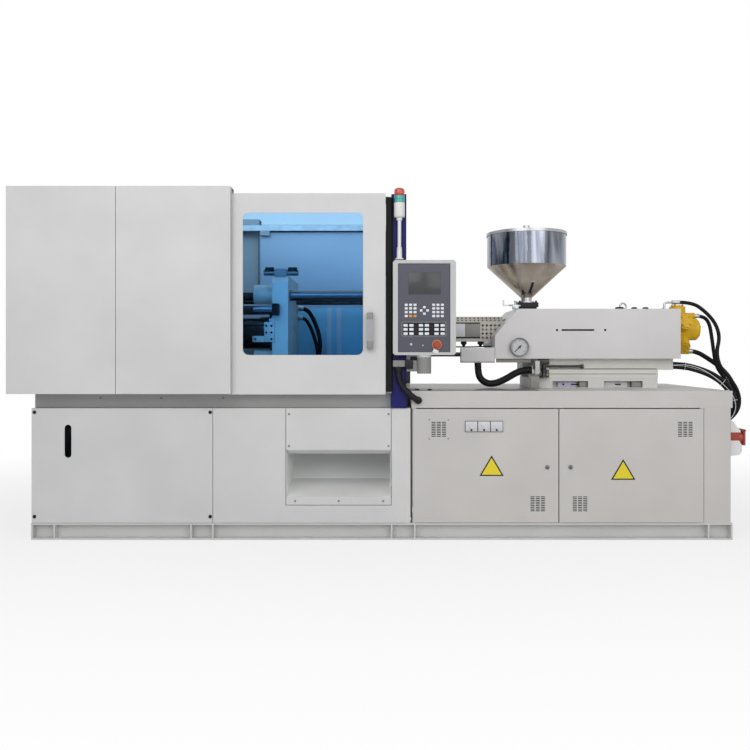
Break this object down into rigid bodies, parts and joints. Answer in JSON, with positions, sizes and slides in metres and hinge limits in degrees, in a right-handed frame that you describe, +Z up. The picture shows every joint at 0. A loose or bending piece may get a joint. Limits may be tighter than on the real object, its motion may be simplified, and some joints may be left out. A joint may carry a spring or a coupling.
{
  "type": "injection moulding machine",
  "caption": "Horizontal injection moulding machine with a guarded clamp unit, windowed sliding door, control panel, hopper-fed injection unit and hydraulic screw motor on a cabinet base.",
  "frame": {"origin": "on the floor under the middle of the base", "axes": "+X along the machine from the clamp unit to the screw motor, +Y to the back, +Z up"},
  "size_m": [4.6345, 1.304, 2.106],
  "materials": {
    "frame_paint": "satin paint",
    "panel_paint": "satin paint",
    "cabinet_paint": "satin paint",
    "navy_paint": "gloss paint",
    "zinc_steel": "zinc plated",
    "platen_iron": "machined and painted",
    "chromed_steel": "hard chromed",
    "machined_steel": "machined",
    "polished_stainless": "polished",
    "window_sheet": "clear blue sheet",
    "black_rubber": "matt",
    "black_plastic": "matt",
    "grey_plastic": "fine texture",
    "membrane": "satin film",
    "red_plastic": "gloss",
    "white_plastic": "gloss",
    "yellow_paint": "gloss paint",
    "dark_paint": "satin paint",
    "lock_chrome": "polished"
  },
  "bodies": {
    "machine_base": {"bottom_rails": "frame_paint", "frame_members": "frame_paint", "base_cover_panels": "panel_paint", "base_front_panels": "panel_paint", "door_seals": "black_rubber", "discharge_chute": "panel_paint", "cabinet_shell": "cabinet_paint", "injection_table": "panel_paint", "electrical_plate": "zinc_steel", "hydraulic_power_unit": "frame_paint", "clamp_covers": "panel_paint", "guard_posts": "navy_paint", "door_tracks": "zinc_steel", "stationary_platen": "platen_iron", "cylinder_platen": "platen_iron", "tie_bars": "chromed_steel", "slide_base": "platen_iron", "carriage_rods": "chromed_steel", "beacon": "white_plastic", "panel_bracket": "frame_paint", "socket_housing": "white_plastic", "hose_supply": "black_rubber", "hose_return": "black_rubber", "hose_drain": "black_rubber", "lower_cable": "black_rubber", "panel_conduit": "black_plastic", "platen_hose": "black_rubber"},
    "front_door": {"front_door_panel": "panel_paint", "front_window": "window_sheet", "front_door_handle": "grey_plastic"},
    "rear_door": {"rear_door_panel": "panel_paint"},
    "clamp_platen": {"moving_platen": "platen_iron", "clamp_ram": "chromed_steel", "solenoid_valve": "chromed_steel"},
    "ejector": {"ejector_rod": "machined_steel"},
    "carriage": {"carriage_frame": "platen_iron", "unit_cover": "panel_paint", "terminal_box": "panel_paint", "barrel": "machined_steel", "barrel_guard": "zinc_steel", "hopper": "polished_stainless", "throat_block": "dark_paint", "pressure_gauge": "chromed_steel", "screw_motor": "yellow_paint", "supply_pipe": "machined_steel", "unit_conduit": "black_plastic"},
    "lid": {"hopper_lid": "polished_stainless"},
    "gate": {"hopper_gate": "machined_steel"},
    "pointer": {"gauge_pointer": "black_plastic"},
    "piston": {"injection_piston": "machined_steel"},
    "screw": {"plasticizing_screw": "machined_steel"},
    "left_cabinet_door": {"cabinet_door_left": "cabinet_paint", "door_meters": "grey_plastic"},
    "right_cabinet_door": {"cabinet_door_right": "cabinet_paint"},
    "left_lock": {"lock_left": "lock_chrome"},
    "right_lock": {"lock_right": "lock_chrome"},
    "control_panel": {"panel_housing": "grey_plastic", "panel_face": "membrane"},
    "stop_button": {"e_stop_button": "red_plastic"},
    "socket_flap": {"socket_lid": "red_plastic"}
  },
  "joints": [
    {"name": "front_door_slide", "type": "slide", "parent": "machine_base", "child": "front_door", "axis": [-1, 0, 0], "range_m": [0, 0.7]},
    {"name": "rear_door_slide", "type": "slide", "parent": "machine_base", "child": "rear_door", "axis": [-1, 0, 0], "range_m": [0, 0.7]},
    {"name": "platen_slide", "type": "slide", "parent": "machine_base", "child": "clamp_platen", "axis": [1, 0, 0], "range_m": [-0.15, 0.4], "deforming": ["platen_hose"]},
    {"name": "ejector_slide", "type": "slide", "parent": "clamp_platen", "child": "ejector", "axis": [1, 0, 0], "range_m": [0, 0.1]},
    {"name": "carriage_slide", "type": "slide", "parent": "machine_base", "child": "carriage", "axis": [1, 0, 0], "range_m": [0, 0.25], "deforming": ["hose_supply", "hose_return", "hose_drain", "lower_cable"]},
    {"name": "lid_lift", "type": "slide", "parent": "carriage", "child": "lid", "axis": [0, 0, 1], "range_m": [0, 0.25]},
    {"name": "gate_slide", "type": "slide", "parent": "carriage", "child": "gate", "axis": [-1, 0, 0], "range_m": [0, 0.075]},
    {"name": "gauge_pointer_turn", "type": "hinge", "parent": "carriage", "child": "pointer", "pos_m": [0.877, -0.28, 1.159], "axis": [0, 1, 0], "range_deg": [0, 270], "stiffness_Nm_per_rad": 0.002},
    {"name": "piston_slide", "type": "slide", "parent": "carriage", "child": "piston", "axis": [1, 0, 0], "range_m": [0, 0.15]},
    {"name": "screw_turn", "type": "hinge", "parent": "piston", "child": "screw", "pos_m": [1, 0, 1.28], "axis": [1, 0, 0], "continuous": true},
    {"name": "left_cabinet_door_hinge", "type": "hinge", "parent": "machine_base", "child": "left_cabinet_door", "pos_m": [0.196, -0.544, 0.44], "axis": [0, 0, -1], "range_deg": [0, 110]},
    {"name": "right_cabinet_door_hinge", "type": "hinge", "parent": "machine_base", "child": "right_cabinet_door", "pos_m": [1.923, -0.544, 0.44], "axis": [0, 0, 1], "range_deg": [0, 110]},
    {"name": "left_lock_turn", "type": "hinge", "parent": "left_cabinet_door", "child": "left_lock", "pos_m": [0.993, -0.55, 0.436], "axis": [0, -1, 0], "range_deg": [0, 90]},
    {"name": "right_lock_turn", "type": "hinge", "parent": "right_cabinet_door", "child": "right_lock", "pos_m": [1.133, -0.55, 0.436], "axis": [0, 1, 0], "range_deg": [0, 90]},
    {"name": "panel_swivel", "type": "hinge", "parent": "machine_base", "child": "control_panel", "pos_m": [0.2505, -0.6025, 1.1], "axis": [0, 0, 1], "range_deg": [0, 60]},
    {"name": "stop_press", "type": "slide", "parent": "control_panel", "child": "stop_button", "axis": [0, 1, 0], "range_m": [0, 0.006], "stiffness_N_per_m": 1500},
    {"name": "socket_flap_hinge", "type": "hinge", "parent": "machine_base", "child": "socket_flap", "pos_m": [2.2063, -0.45, 0.649], "axis": [0, -1, 0], "range_deg": [0, 100], "stiffness_Nm_per_rad": 0.3, "springref_deg": -17.19}
  ]
}
